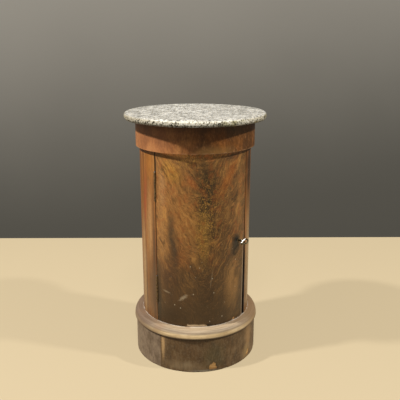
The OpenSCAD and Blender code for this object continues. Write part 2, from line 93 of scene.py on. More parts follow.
class Signal:
    """One output of a shader node. It adds, subtracts and multiplies with numbers and other signals."""

    def __init__(self, paint, socket):
        self.paint = paint
        self.socket = socket

    def __add__(self, other):
        return self.paint.math("ADD", self, other)

    def __sub__(self, other):
        return self.paint.math("SUBTRACT", self, other)

    def __mul__(self, other):
        return self.paint.math("MULTIPLY", self, other)

    def __neg__(self):
        return self * -1.0

    def clip(self):
        """The signal held between 0 and 1."""
        return self.paint.math("MAXIMUM", self.paint.math("MINIMUM", self, 1.0), 0.0)

    def invert(self):
        """1 less the signal."""
        return self * -1.0 + 1.0

    def fade(self, low, high):
        """0 at low, 1 at high, a smooth step between and level beyond. low may lie above high."""
        inputs = {"Value": self, "From Min": low, "From Max": high}
        return self.paint.node("MapRange", inputs, interpolation_type="SMOOTHSTEP", clamp=True)


class Paint:
    """A material in the making: each call adds nodes to its tree and gives back a signal."""

    def __init__(self, name):
        self.material = bpy.data.materials.new(name)
        self.material.use_nodes = True
        self.tree = self.material.node_tree
        self.tree.nodes.clear()
        self.seed = 0.0

    def node(self, kind, inputs=(), output=0, **settings):
        """Adds a shader node; inputs are signals or values, by the name or number of their socket."""
        made = self.tree.nodes.new("ShaderNode" + kind)
        for key, value in settings.items():
            setattr(made, key, value)
        for key, value in dict(inputs).items():
            if isinstance(value, Signal):
                self.tree.links.new(value.socket, made.inputs[key])
            elif value is not None:
                made.inputs[key].default_value = value
        return Signal(self, made.outputs[output])

    def math(self, operation, a, b=None):
        """One step of arithmetic on one or two values."""
        return self.node("Math", {0: a, 1: b}, operation=operation)

    def length(self, a, b):
        """Length of the flat vector (a, b)."""
        return self.math("SQRT", a * a + b * b)

    def vector(self, x, y, z=0.0):
        """A vector of three signals or numbers."""
        return self.node("CombineXYZ", {"X": x, "Y": y, "Z": z})

    def place(self):
        """The x, y and z of a point of the object as it stands at rest."""
        split = self.node("SeparateXYZ", {"Vector": self.node("TexCoord", output="Object")})
        outputs = split.socket.node.outputs
        return [Signal(self, outputs[i]) for i in range(3)]

    def unrolled(self, radius):
        """Length along a drum of that radius from the door's centre line, and height."""
        x, y, z = self.place()
        return self.math("ARCTAN2", x, -y) * radius, z

    def noise(self, vector, scale=1.0, detail=2.0, roughness=0.5, distortion=0.0):
        """Cloudy noise from 0 to 1, another pattern at each call."""
        self.seed += SEED_STEP
        shift = (self.seed, -self.seed, 0.5 * self.seed)
        inputs = {
            "Vector": self.node("VectorMath", {0: vector, 1: shift}, operation="ADD"),
            "Scale": scale,
            "Detail": detail,
            "Roughness": roughness,
            "Distortion": distortion,
        }
        return self.node("TexNoise", inputs)

    def cells(self, vector, scale):
        """Distance to the nearest of many scattered points, measured in their mean spacing."""
        return self.node("TexVoronoi", {"Vector": vector, "Scale": scale}, output="Distance")

    def mix(self, share, a, b, blend="MIX"):
        """Colour a with a share of colour b laid over it."""
        inputs = {MIX_SHARE: share, MIX_A: a, MIX_B: b}
        return self.node("Mix", inputs, output=MIX_COLOUR, data_type="RGBA", blend_type=blend)

    def ramp(self, value, *stops):
        """A colour ramp; each stop is (position, colour)."""
        made = self.node("ValToRGB", {"Fac": value})
        band = made.socket.node.color_ramp
        while len(band.elements) < len(stops):
            band.elements.new(0.5)
        for element, (position, colour) in zip(band.elements, stops):
            element.position = position
            element.color = colour
        return made

    def spot(self, along, up, azimuth, height, wide, tall, lean=0.0, ragged=0.5, soft=0.7):
        """Mask of a ragged, soft oval patch; wide and tall are half sizes, and lean turns it clockwise."""
        c = math.cos(math.radians(lean))
        s = math.sin(math.radians(lean))
        right = along - arc(azimuth)
        rise = up - height
        a = (right * c - rise * s) * (1 / wide)
        b = (right * s + rise * c) * (1 / tall)
        rough = self.noise(self.vector(along, up), scale=1.0 / min(wide, tall), detail=3.0) - 0.5
        distance = self.length(a, b) + rough * (2 * ragged)
        return distance.fade(1 + soft, 1 - soft)

    def surface(self, colour, roughness, height=None, depth=0.0002, **constants):
        """Ends the tree with one Principled shader. Constants are set on its own sockets."""
        shader = self.tree.nodes.new("ShaderNodeBsdfPrincipled")
        for key, value in (("Base Color", colour), ("Roughness", roughness)):
            if isinstance(value, Signal):
                self.tree.links.new(value.socket, shader.inputs[key])
            else:
                shader.inputs[key].default_value = value
        for key, value in constants.items():
            shader.inputs[key.replace("_", " ").title().replace("Ior", "IOR")].default_value = value
        if height is not None:
            bump = self.node("Bump", {"Height": height, "Distance": depth, "Strength": 1.0})
            self.tree.links.new(bump.socket, shader.inputs["Normal"])
        output = self.tree.nodes.new("ShaderNodeOutputMaterial")
        self.tree.links.new(shader.outputs[0], output.inputs["Surface"])
        return self.material


def dress(material, *names):
    """Gives CAD nodes one material over all their faces."""
    for name in names:
        mesh = frame["nodes"][name].data
        mesh.materials.clear()
        mesh.materials.append(material)


# ---- Wood ----


def worn_polish(paint, vector, low, high):
    """Roughness of an old polish: dull clouds, and fine marks where it was rubbed."""
    clouds = paint.noise(vector, scale=22.0, detail=3.0)
    rubbed = paint.noise(vector, scale=700.0, detail=2.0)
    share = clouds * 0.75 + rubbed * 0.25
    return share.fade(0.2, 0.8) * (high - low) + low


def open_pores(paint, vector):
    """Mask of the wood's fine pores. The vector is squeezed along the grain, which draws them out."""
    return paint.noise(vector, scale=2300.0, detail=1.0).fade(0.6, 0.72)


def scratches(paint, along, up, scale, lean):
    """Mask of thin, short scratches that run one way."""
    c = math.cos(math.radians(lean))
    s = math.sin(math.radians(lean))
    a = along * c + up * s
    b = up * c - along * s
    lines = paint.noise(paint.vector(a * 0.05, b), scale=scale, detail=0.0)
    breaks = paint.noise(paint.vector(a, b), scale=scale * 0.05, detail=1.0)
    return lines.fade(0.74, 0.78) * breaks.fade(0.52, 0.6)


def patches(paint, colour, along, up, rows):
    """Lays soft patches over a colour.

    A row is an azimuth, the height and the half sizes in mm, the lean, the share and the patch's colour.
    """
    for azimuth, height, wide, tall, lean, share, tone in rows:
        mask = paint.spot(along, up, azimuth, height * MM, wide * MM, tall * MM, lean, ragged=0.4, soft=0.8)
        colour = paint.mix(mask * share, colour, srgb(*tone))
    return colour


def door_tones(paint, along, up):
    """Broad tones of the door's sheet, with a dark plume in the middle."""
    colour = paint.mix(along.fade(0.02, -0.09), srgb(108, 73, 36), srgb(162, 110, 57))
    colour = paint.mix(up.fade(0.41, 0.30) * 0.85, colour, srgb(86, 62, 34))
    return patches(paint, colour, along, up, (
        (1, 535, 30, 116, 0, 0.98, (38, 32, 17)),
        (-4, 630, 60, 26, 0, 0.45, (122, 86, 46)),
        (-44, 430, 11, 150, 0, 0.5, (176, 126, 72)),
        (-43, 552, 10, 50, 0, 0.3, (196, 146, 98)),
        (-33, 600, 20, 34, -35, 0.7, (200, 142, 56)),
        (-12, 572, 9, 20, -42, 0.6, (170, 92, 40)),
        (26, 585, 12, 58, 32, 0.75, (164, 92, 32)),
        (-16, 470, 34, 60, -20, 0.6, (174, 118, 56)),
        (-25, 355, 24, 30, 0, 0.6, (144, 84, 38)),
        (41, 500, 11, 150, 0, 0.5, (146, 102, 50)),
        (20, 400, 20, 80, 0, 0.5, (80, 56, 30)),
        (30, 640, 30, 10, 0, 0.6, (84, 54, 34)),
        (32, 250, 22, 84, 0, 0.9, (164, 118, 64)),
        (2, 265, 22, 56, 0, 0.45, (66, 46, 26)),
        (-1, 415, 15, 62, 0, 0.8, (146, 106, 44)),
        (-38, 300, 26, 44, 0, 0.5, (98, 62, 38)),
    ))


def door_flames(paint, colour, along, up):
    """Flames that follow the figure: long, short and shortest, strong in some places and faint in others."""
    light = srgb(212, 150, 76)
    dark = srgb(52, 34, 16)
    lively = up.fade(0.20, 0.42) * 0.55 + 0.45
    rise = paint.math("SQRT", along * along + 0.0006) * 1.4
    sway = paint.noise(paint.vector(along, up), scale=16.0, detail=2.0) - 0.5
    wobble = paint.noise(paint.vector(along, up), scale=70.0, detail=2.0) - 0.5
    flow = up - rise + sway * 0.08 + wobble * 0.022
    sizes = (
        (45.0, 0.5, 0.72, 0.5),
        (110.0, 0.6, 0.55, 0.42),
        (260.0, 0.9, 0.3, 0.2),
    )
    for scale, stretch, deep, bright in sizes:
        streaks = paint.noise(paint.vector(along * stretch, flow), scale=scale, detail=2.0, roughness=0.6)
        strength = paint.noise(paint.vector(along, up), scale=scale * 0.4).fade(0.3, 0.65)
        colour = paint.mix(streaks.fade(0.52, 0.3) * strength * lively * deep, colour, dark)
        colour = paint.mix(streaks.fade(0.5, 0.7) * strength.invert() * lively * bright, colour, light)
    warm = paint.noise(paint.vector(along, up * 0.7), scale=60.0, detail=3.0, roughness=0.6)
    colour = paint.mix(warm.fade(0.5, 0.66) * up.fade(0.25, 0.42) * 0.3, colour, srgb(160, 82, 32))
    mottle = paint.noise(paint.vector(along * 0.7, flow), scale=250.0, detail=4.0, roughness=0.8)
    colour = paint.mix(mottle.fade(0.52, 0.34) * 0.42, colour, dark)
    colour = paint.mix(mottle.fade(0.54, 0.68) * (lively * 0.4), colour, light)
    return colour, mottle


def door_flecks(paint, colour, along, up):
    """Yellow flecks in the plume and beside the head of the door."""
    zone = paint.spot(along, up, -1, 0.44, 0.024, 0.095, ragged=0.5, soft=0.8)
    zone = zone + paint.spot(along, up, -17, 0.635, 0.030, 0.022, ragged=0.5)
    zone = zone + paint.spot(along, up, 10, 0.48, 0.036, 0.12, ragged=0.5, soft=0.8) * 0.4
    flecks = paint.noise(paint.vector(along, up * 0.8), scale=330.0, detail=1.0).fade(0.54, 0.64)
    return paint.mix(flecks * zone.clip() * 0.65, colour, srgb(182, 136, 60))


def door_stains(paint, colour, along, up):
    """Dirt of the foot, and dark stains, of which the darkest lies round the keyhole and partly paints the
    key's shadow.
    """
    colour = paint.mix(up.fade(0.30, 0.15) * 0.65, colour, srgb(62, 46, 24))
    return patches(paint, colour, along, up, (
        (-34, 436, 10, 40, 4, 0.7, (62, 50, 32)),
        (-31, 372, 12, 46, -6, 0.8, (62, 48, 32)),
        # Round the keyhole: a stain that partly is a painted shadow of the key
        (37, 388, 13, 20, 8, 1.0, (24, 22, 18)),
        (36, 368, 16, 18, 30, 0.9, (44, 36, 26)),
        (31, 350, 16, 16, 30, 0.6, (62, 46, 28)),
        (-50, 210, 9, 90, 0, 0.75, (46, 38, 24)),
        (-36, 250, 30, 70, 0, 0.6, (74, 50, 26)),
        (-36, 160, 36, 34, 0, 0.75, (58, 40, 16)),
        (4, 141, 10, 4, 0, 0.8, (24, 18, 12)),
    ))


def door_edges(paint, colour, along, up):
    """Painted shade along the gaps to the stiles, and a painted highlight on the edge beside the lock gap."""
    lock_lean = (LOCK_GAP_FOOT - LOCK_GAP_HEAD) / (HEAD_Z - FOOT_Z)
    lock_edge = (-up + HEAD_Z) * lock_lean + LOCK_GAP_HEAD
    from_lock = -along + arc(LOCK_AZ) - lock_edge
    from_hinge = along - arc(HINGE_AZ)
    # The painted shade beside the hinge gap is widest between these two heights, at the upper hinge and above
    # it
    wide_foot = 0.555, 0.57
    wide_head = 0.62, 0.64
    above_head = up.fade(*wide_head)
    below_head = up.fade(*reversed(wide_head))
    above_foot = up.fade(*wide_foot)
    below_foot = up.fade(*reversed(wide_foot))
    # Painted shade along the hinge gap and the lock gap
    gap_shade = from_hinge.fade(0.0035, 0.001) * above_head
    gap_shade = gap_shade + from_hinge.fade(0.0058, 0.0030) * above_foot * below_head
    gap_shade = gap_shade + from_hinge.fade(0.003, 0.0005) * below_foot * up.fade(0.30, 0.33) * 0.8
    gap_shade = gap_shade + from_lock.fade(0.0015, 0.0005) * up.fade(0.43, 0.38)
    colour = paint.mix(gap_shade.clip() * 0.9, colour, srgb(30, 14, 6))
    # Painted highlight on the door's edge beside the lock gap
    rubbed = from_lock.fade(0.0075, 0.004) * from_lock.fade(0.0005, 0.002) * up.fade(*LOCK_LIGHT_AND_SHADE)
    return paint.mix(rubbed * 0.45, colour, srgb(176, 148, 116))


def door_head(paint, colour, along, up):
    """Lightens the head, most of it in the middle, as the frieze shades it more than in the photograph."""
    band = paint.math("ABSOLUTE", along + 0.010) * -0.19 + 0.024
    factor = (up - HEAD_Z + band).fade(-0.004, 0.003) * 1.3 + 1.0
    factor = factor + (up - HEAD_Z + band * 0.6).fade(-0.003, 0.002) * 1.5
    factors = paint.vector(factor, factor, factor)
    return paint.node("VectorMath", {0: colour, 1: factors}, operation="MULTIPLY")


def door_wear(paint, colour, along, up):
    """Pale scuffs, a crack line, scratches, specks of paint, and a rubbed rim at the head's right."""
    scuffs = paint.spot(along, up, -21.5, 0.229, 0.013, 0.0045, lean=-38, ragged=1.0, soft=0.6) * 0.8
    scuffs = scuffs + paint.spot(along, up, -40, 0.240, 0.011, 0.0025, lean=12, ragged=1.0, soft=0.6) * 0.5
    scuffs = scuffs + paint.spot(along, up, 7, 0.285, 0.0015, 0.024, lean=8, ragged=0.7, soft=0.6) * 0.3
    for scale, lean in ((1500.0, 24), (1300.0, -50), (1400.0, 84)):
        scuffs = scuffs + scratches(paint, along, up, scale, lean) * 0.3
    colour = paint.mix(scuffs.clip() * 0.65, colour, srgb(196, 170, 130))
    specks = paint.cells(paint.vector(along, up * 0.8), 48.0)
    colour = paint.mix(specks.fade(0.10, 0.06) * up.fade(0.40, 0.30) * 0.6, colour, srgb(204, 186, 152))
    rim = up.fade(HEAD_Z - 0.004, HEAD_Z - 0.001) * along.fade(0.02, 0.04)
    return paint.mix(rim * 0.6, colour, srgb(178, 138, 112)), scuffs


def door_veneer():
    """Flame figured veneer: streaks rise left and right from a dark plume in the middle."""
    paint = Paint("door_mahogany")
    along, up = paint.unrolled(DRUM_R)
    colour = door_tones(paint, along, up)
    colour, mottle = door_flames(paint, colour, along, up)
    colour = door_flecks(paint, colour, along, up)
    pores = open_pores(paint, paint.vector(along, up * 0.12))
    colour = paint.mix(pores * 0.4, colour, srgb(40, 26, 14))
    colour = door_stains(paint, colour, along, up)
    colour = door_edges(paint, colour, along, up)
    colour = door_head(paint, colour, along, up)
    colour, scuffs = door_wear(paint, colour, along, up)
    roughness = worn_polish(paint, paint.vector(along, up), 0.32, 0.52) + scuffs.clip() * 0.2
    height = pores * -0.5 + mottle * 0.6
    return paint.surface(colour, roughness, height, 0.12 * MM, specular_ior_level=0.35)


def drum_patches(paint, colour, along, up):
    """Patches left and right of the door. The tall pale one at the far left is a painted reflection, and the
    last is a painted reflection of the bright floor that the drum mirrors.
    """
    return patches(paint, colour, along, up, (
        (-60, 620, 16, 44, 0, 0.6, (178, 112, 44)),
        (-71, 505, 9, 76, 4, 0.7, (156, 70, 38)),
        (-62, 430, 12, 90, 0, 0.65, (196, 146, 90)),
        # A painted reflection
        (-77, 270, 10, 140, 0, 0.8, (180, 140, 90)),
        (-56, 320, 6, 190, 0, 0.7, (84, 62, 40)),
        (-59, 230, 16, 90, 0, 0.7, (92, 68, 44)),
        (63, 590, 24, 110, 0, 0.95, (44, 30, 20)),
        # A painted reflection of the bright floor
        (66, 310, 24, 150, 0, 0.8, (168, 134, 86)),
    ))


def drum_gap_shade(paint, colour, along, up):
    """Painted shade on both sides of the door, along its gaps. Gives back the colour and the mask of the
    painted shade beside the lock gap.
    """
    hinge_side = (along - arc(HINGE_AZ)).fade(-0.0040, -0.0015) * along.fade(0.05, 0.0)
    hinge_side = hinge_side * (up.fade(0.555, 0.60) + up.fade(0.57, 0.55) * 0.5).clip()
    colour = paint.mix(hinge_side * 0.85, colour, srgb(34, 16, 8))
    lock_side = (along - arc(LOCK_AZ)).fade(0.0070, 0.0052) * along.fade(0.0, 0.05) * up.fade(*LOCK_LIGHT_AND_SHADE)
    return paint.mix(lock_side, colour, srgb(12, 6, 4)), lock_side


def drum_veneer():
    """Plain, upright figure in orange, red and brown stripes."""
    paint = Paint("drum_mahogany")
    x, y, up = paint.place()
    along, _ = paint.unrolled(DRUM_R)
    upright = paint.vector(x, y, up * 0.04)
    stripes = paint.noise(upright, scale=60.0, detail=3.0, roughness=0.6, distortion=0.2)
    colour = paint.ramp(
        stripes,
        (0.3, srgb(100, 60, 26)),
        (0.45, srgb(144, 88, 38)),
        (0.58, srgb(162, 104, 48)),
        (0.72, srgb(182, 126, 66)),
    )
    red = paint.noise(paint.vector(x, y, up * 0.25), scale=14.0, detail=2.0).fade(0.5, 0.7)
    colour = paint.mix(red * 0.4, colour, srgb(132, 66, 38))
    colour = paint.mix(up.fade(0.42, 0.17) * 0.5, colour, srgb(104, 78, 50))
    colour = drum_patches(paint, colour, along, up)
    fine = paint.noise(paint.vector(x, y, up * 0.03), scale=420.0, detail=3.0)
    colour = paint.mix(fine.fade(0.52, 0.3) * 0.3, colour, srgb(70, 42, 24))
    mottle = paint.noise(paint.vector(x, y, up * 0.5), scale=170.0, detail=3.0, roughness=0.6)
    colour = paint.mix(mottle.fade(0.5, 0.3) * 0.3, colour, srgb(84, 52, 30))
    # Painted shade along the door's gaps
    colour, lock_gap_shade = drum_gap_shade(paint, colour, along, up)
    pores = open_pores(paint, paint.vector(x, y, up * 0.07))
    colour = paint.mix(pores * 0.4, colour, srgb(50, 30, 16))
    marks = scratches(paint, along, up, 1400.0, 35)
    colour = paint.mix(marks * 0.4, colour, srgb(190, 156, 118))
    roughness = worn_polish(paint, paint.vector(x, y, up), 0.28, 0.5) + lock_gap_shade * 0.4
    height = pores * -0.5 + fine * 0.5
    return paint.surface(colour, roughness, height, 0.1 * MM, specular_ior_level=0.35)


def frieze_veneer():
    """Reddish veneer with a soft, cloudy upright figure, browner on the right."""
    paint = Paint("frieze_mahogany")
    x, y, up = paint.place()
    clouds = paint.noise(paint.vector(x, y, up * 0.6), scale=24.0, detail=3.0, distortion=0.4)
    red = paint.ramp(clouds, (0.34, srgb(118, 70, 35)), (0.5, srgb(167, 105, 56)), (0.66, srgb(196, 133, 74)))
    brown = paint.ramp(clouds, (0.3, srgb(66, 40, 16)), (0.52, srgb(96, 58, 22)), (0.72, srgb(132, 78, 28)))
    colour = paint.mix(x.fade(-0.12, 0.02), red, brown)
    upright = paint.vector(x, y, up * 0.4)
    ribbon = paint.noise(upright, scale=90.0, detail=3.0, roughness=0.6, distortion=0.3)
    colour = paint.mix(ribbon.fade(0.5, 0.3) * 0.35, colour, srgb(80, 46, 24))
    colour = paint.mix(ribbon.fade(0.54, 0.7) * 0.3, colour, srgb(186, 126, 72))
    fine = paint.noise(paint.vector(x, y, up * 0.45), scale=270.0, detail=3.0, roughness=0.65)
    colour = paint.mix(fine.fade(0.52, 0.34) * 0.4, colour, srgb(66, 38, 20))
    colour = paint.mix(fine.fade(0.54, 0.68) * 0.3, colour, srgb(190, 130, 84))
    colour = paint.mix(x.fade(-0.06, -0.12) * 0.4, colour, srgb(188, 124, 80))

    # Painted light: paler low in the middle, under the point of the marble's shadow
    painted_light_low = up.fade(FRIEZE_Z + 0.028, FRIEZE_Z + 0.004) * x.fade(-0.05, 0.0) * x.fade(0.10, 0.05)
    colour = paint.mix(painted_light_low * 0.55, colour, srgb(146, 106, 56))
    pores = open_pores(paint, paint.vector(x, y, up * 0.1))
    colour = paint.mix(pores * 0.4, colour, srgb(46, 28, 14))

    # A rubbed lower rim, and painted shade close under the marble
    rim = up.fade(FRIEZE_Z + 0.004, FRIEZE_Z + 0.001)
    worn = paint.noise(paint.vector(x, y, up), scale=90.0, detail=3.0).fade(0.45, 0.6)
    colour = paint.mix(rim * worn * 0.45, colour, srgb(170, 126, 86))
    colour = paint.mix(up.fade(MARBLE_Z - 0.030, MARBLE_Z - 0.002) * 0.6, colour, srgb(46, 30, 18))
    roughness = worn_polish(paint, paint.vector(x, y, up), 0.32, 0.52)
    height = pores * -0.5 + fine * 0.4 + clouds * 0.3
    return paint.surface(colour, roughness, height, 0.1 * MM, specular_ior_level=0.3)


def plinth_veneer():
    """Dull brown veneer with upright grain, greyed left of an open joint and knocked pale in places."""
    paint = Paint("plinth_mahogany")
    x, y, up = paint.place()
    along, _ = paint.unrolled(PLINTH_R)
    stripes = paint.noise(paint.vector(x, y, up * 0.45), scale=55.0, detail=4.0, roughness=0.65)
    colour = paint.ramp(stripes, (0.3, srgb(74, 54, 32)), (0.5, srgb(98, 71, 39)), (0.7, srgb(126, 98, 64)))
    joint = math.radians(-42)
    joint_width = 0.03
    left = along.fade(joint * PLINTH_R, (joint - joint_width) * PLINTH_R) * along.fade(-0.42, -0.33)
    greyed = paint.noise(paint.vector(x, y, up * 0.7), scale=45.0, detail=4.0, roughness=0.65)
    left_tone = paint.ramp(
        greyed,
        (0.35, srgb(104, 84, 64)),
        (0.5, srgb(134, 112, 90)),
        (0.65, srgb(160, 136, 108)),
    )
    colour = paint.mix(left * 0.75, colour, left_tone)
    colour = patches(paint, colour, along * (DRUM_R / PLINTH_R), up, (
        (-40, 85, 5, 44, 0, 0.9, (202, 160, 106)),
        (8, 50, 26, 40, 0, 0.4, (92, 86, 54)),
        (-10, 90, 40, 30, 0, 0.4, (92, 66, 40)),
        (-20, 20, 40, 14, 0, 0.45, (160, 134, 96)),
        (50, 66, 14, 50, 0, 0.7, (174, 132, 82)),
        (46, 22, 13, 20, 0, 0.6, (176, 142, 88)),
        (-3, 4, 30, 3, 0, 0.7, (150, 140, 118)),
    ))
    fine = paint.noise(paint.vector(x, y, up * 0.12), scale=400.0, detail=3.0)
    colour = paint.mix(fine.fade(0.52, 0.3) * 0.3, colour, srgb(52, 38, 22))
    dust = paint.noise(paint.vector(x, y, up), scale=160.0, detail=4.0, roughness=0.7)
    colour = paint.mix(dust.fade(0.45, 0.7) * 0.3, colour, srgb(140, 122, 92))

    # Knocked pale near the floor, and painted shade close under the moulding
    knocks = paint.noise(paint.vector(x, y, up * 0.6), scale=45.0, detail=3.0).fade(0.6, 0.72)
    colour = paint.mix(knocks * up.fade(0.06, 0.01) * 0.5, colour, srgb(150, 128, 94))
    colour = paint.mix(up.fade(PLINTH_Z - 0.010, PLINTH_Z - 0.001) * 0.5, colour, srgb(62, 44, 26))
    roughness = worn_polish(paint, paint.vector(x, y, up), 0.42, 0.68)
    height = fine * 0.6 + dust * 0.4
    return paint.surface(colour, roughness, height, 0.15 * MM, specular_ior_level=0.4)


def moulding():
    """Solid wood, pale on its round part, with painted shade above it and at its foot, and a whitish line
    along the drum.
    """
    paint = Paint("moulding_mahogany")
    x, y, up = paint.place()
    radius = paint.length(x, y)
    turn = paint.math("ARCTAN2", x, -y)
    rings = paint.noise(paint.vector(radius * 1.4, turn * 0.012, up), scale=200.0, detail=4.0, roughness=0.6)
    # The round part's pale colour; the darker copy above it is painted shade
    rubbed = paint.ramp(
        rings,
        (0.3, srgb(176, 146, 98)),
        (0.5, srgb(214, 182, 132)),
        (0.7, srgb(232, 204, 156)),
    )
    shaded_above = paint.ramp(
        rings,
        (0.3, srgb(126, 107, 82)),
        (0.5, srgb(152, 131, 103)),
        (0.7, srgb(174, 152, 123)),
    )
    # Painted shade above the round part
    colour = paint.mix(up.fade(PLINTH_Z + 0.010, PLINTH_Z + 0.0165), rubbed, shaded_above)
    clouds = paint.noise(paint.vector(x, y, up), scale=26.0, detail=3.0)
    sides = paint.math("ABSOLUTE", turn + 0.05).fade(0.45, 1.15)
    side_tone = paint.mix(x.fade(0.02, -0.08), srgb(134, 104, 70), srgb(108, 84, 66))
    colour = paint.mix(sides * 0.8, colour, side_tone)
    colour = paint.mix(clouds.fade(0.5, 0.75) * 0.3, colour, srgb(136, 96, 62))
    # Painted shade at the foot of the moulding
    under = up.fade(PLINTH_Z + 0.006, PLINTH_Z + 0.0005)
    colour = paint.mix(under * 0.8, colour, srgb(84, 60, 38))
    worn = paint.noise(paint.vector(x, y, up), scale=60.0, detail=3.0).fade(0.35, 0.6)
    seam = radius.fade(DRUM_R + 0.0035, DRUM_R + 0.001) * worn
    colour = paint.mix(seam * 0.6, colour, srgb(190, 178, 162))
    marks = paint.noise(paint.vector(x, y, up), scale=420.0, detail=3.0)
    colour = paint.mix(marks.fade(0.62, 0.72) * 0.35, colour, srgb(98, 68, 42))
    roughness = worn_polish(paint, paint.vector(x, y, up), 0.5, 0.7)
    return paint.surface(colour, roughness, rings * 0.6 + marks * 0.4, 0.12 * MM, specular_ior_level=0.3)


def bare_wood(name, dark, middle, light, run):
    """Bare, aged wood whose grain runs upright, along x, or round the drum."""
    paint = Paint(name)
    x, y, up = paint.place()
    squeeze = 0.035
    if run == "upright":
        vector = paint.vector(x, y, up * squeeze)
    elif run == "along":
        vector = paint.vector(x * squeeze, y, up)
    else:
        radius = paint.length(x, y)
        vector = paint.vector(radius, paint.math("ARCTAN2", x, y) * 0.008, up)
    rings = paint.noise(vector, scale=70.0, detail=2.0, distortion=0.5)
    bands = paint.math("FRACT", rings * 9.0)
    colour = paint.ramp(bands, (0.0, light), (0.7, middle), (0.93, dark), (1.0, light))
    fine = paint.noise(vector, scale=900.0, detail=2.0)
    colour = paint.mix(fine.fade(0.5, 0.3) * 0.35, colour, dark)
    stain = paint.noise(paint.vector(x, y, up), scale=9.0, detail=4.0)
    colour = paint.mix(stain.fade(0.45, 0.7) * 0.4, colour, dark)

    # Dirt along the floor, and clean wood where the veneer is lost at the door's foot
    colour = paint.mix(up.fade(0.010, 0.004) * 0.85, colour, srgb(84, 74, 56))
    foot = up.fade(FOOT_Z + 0.014, FOOT_Z + 0.010) * up.fade(FOOT_Z - 0.001, FOOT_Z)
    foot = foot * y.fade(-0.150, -0.156)
    colour = paint.mix(foot * 0.8, colour, srgb(216, 192, 154))
    roughness = fine.fade(0.3, 0.7) * 0.2 + 0.6
    return paint.surface(colour, roughness, bands * 0.3 + fine * 0.7, 0.15 * MM, specular_ior_level=0.3)


def solid_mahogany():
    """Plain brown solid wood, painted black as shade near the outside, where it lines the door's gaps."""
    paint = Paint("solid_mahogany")
    x, y, up = paint.place()
    stripes = paint.noise(paint.vector(x, y, up * 0.05), scale=110.0, detail=3.0, roughness=0.6)
    colour = paint.ramp(stripes, (0.3, srgb(66, 40, 24)), (0.5, srgb(94, 58, 34)), (0.7, srgb(122, 80, 48)))
    fine = paint.noise(paint.vector(x, y, up * 0.05), scale=800.0, detail=2.0)
    colour = paint.mix(fine.fade(0.5, 0.3) * 0.4, colour, srgb(46, 28, 16))
    handled = paint.noise(paint.vector(x, y, up), scale=22.0, detail=3.0).fade(0.45, 0.65)
    colour = paint.mix(handled * 0.4, colour, srgb(54, 36, 24))
    # Painted shade in the door's gaps
    edge_shade = paint.length(x, y).fade(DRUM_R - 0.016, DRUM_R - 0.009)
    colour = paint.mix(edge_shade * 0.92, colour, srgb(18, 11, 8))
    roughness = fine.fade(0.3, 0.7) * 0.2 + 0.5
    return paint.surface(colour, roughness, stripes * 0.4 + fine * 0.6, 0.1 * MM, specular_ior_level=0.3)


# ---- Marble ----


def marble_face(paint, x, y, up, point):
    """The polished top: grey, full of pale and dark flecks. Gives back its colour and its grit."""
    clouds = paint.noise(point, scale=34.0, detail=4.0, roughness=0.65, distortion=0.6)
    top = paint.ramp(
        clouds,
        (0.3, srgb(126, 122, 112)),
        (0.44, srgb(158, 153, 142)),
        (0.56, srgb(176, 170, 158)),
        (0.7, srgb(214, 208, 194)),
    )
    for scale, share in ((62.0, 0.75), (130.0, 0.72)):
        drawn = paint.vector(x, y * 0.8, up)
        marks = paint.noise(drawn, scale=scale, detail=3.0, roughness=0.7, distortion=0.4)
        top = paint.mix(marks.fade(0.49, 0.36) * share, top, srgb(104, 101, 93))
        top = paint.mix(marks.fade(0.54, 0.64) * share, top, srgb(222, 217, 204))
    grit = paint.noise(point, scale=330.0, detail=2.0)
    top = paint.mix(grit.fade(0.42, 0.3) * 0.7, top, srgb(66, 63, 56))
    top = paint.mix(grit.fade(0.6, 0.7) * 0.5, top, srgb(234, 230, 218))
    # Painted shade: the top is darker towards its left and right sides
    sides = paint.math("ABSOLUTE", x).fade(0.02, 0.14)
    return paint.mix(sides * 0.35, top, srgb(214, 212, 208), "MULTIPLY"), grit


def marble_edge(paint, x, up, point):
    """Round the edge: cream with black blots, more of them low down, moss green on the right, and painted
    shade towards the sides and more on the left.
    """
    deeper = up.fade(MARBLE_Z + 0.018, MARBLE_Z + 0.002) * -0.05
    blots = paint.noise(point, scale=210.0, detail=2.0, roughness=0.6) + deeper
    edge = paint.ramp(
        blots,
        (0.37, srgb(30, 27, 20)),
        (0.405, srgb(122, 114, 90)),
        (0.45, srgb(214, 204, 178)),
        (0.6, srgb(240, 233, 214)),
    )
    moss = paint.noise(point, scale=20.0, detail=2.0).fade(0.48, 0.62) * x.fade(-0.02, 0.08)
    edge = paint.mix(moss * 0.8, edge, srgb(180, 174, 122), "MULTIPLY")
    # Painted shade towards the sides, and more on the left
    sides = paint.math("ABSOLUTE", x + 0.03).fade(0.10, 0.20)
    edge = paint.mix(sides * 0.8, edge, srgb(200, 194, 180), "MULTIPLY")
    edge = paint.mix(x.fade(-0.07, -0.15) * 0.8, edge, srgb(212, 208, 202), "MULTIPLY")
    return edge, blots


def marble():
    """Grey marble full of pale and dark flecks, polished on top and duller round its edge."""
    paint = Paint("marble")
    x, y, up = paint.place()
    point = paint.vector(x, y, up)
    top, grit = marble_face(paint, x, y, up, point)
    edge, blots = marble_edge(paint, x, up, point)
    rim = up.fade(TOP_Z - 0.0015, TOP_Z - 0.006)
    colour = paint.mix(rim, top, edge)
    roughness = rim * 0.25 + paint.noise(point, scale=60.0, detail=3.0).fade(0.3, 0.7) * 0.12 + 0.25
    return paint.surface(
        colour, roughness, blots * rim + grit * 0.3, 0.25 * MM, specular_ior_level=0.4,
        subsurface_weight=0.35, subsurface_radius=(0.9, 0.85, 0.75), subsurface_scale=0.010,
    )


# ---- Metal ----


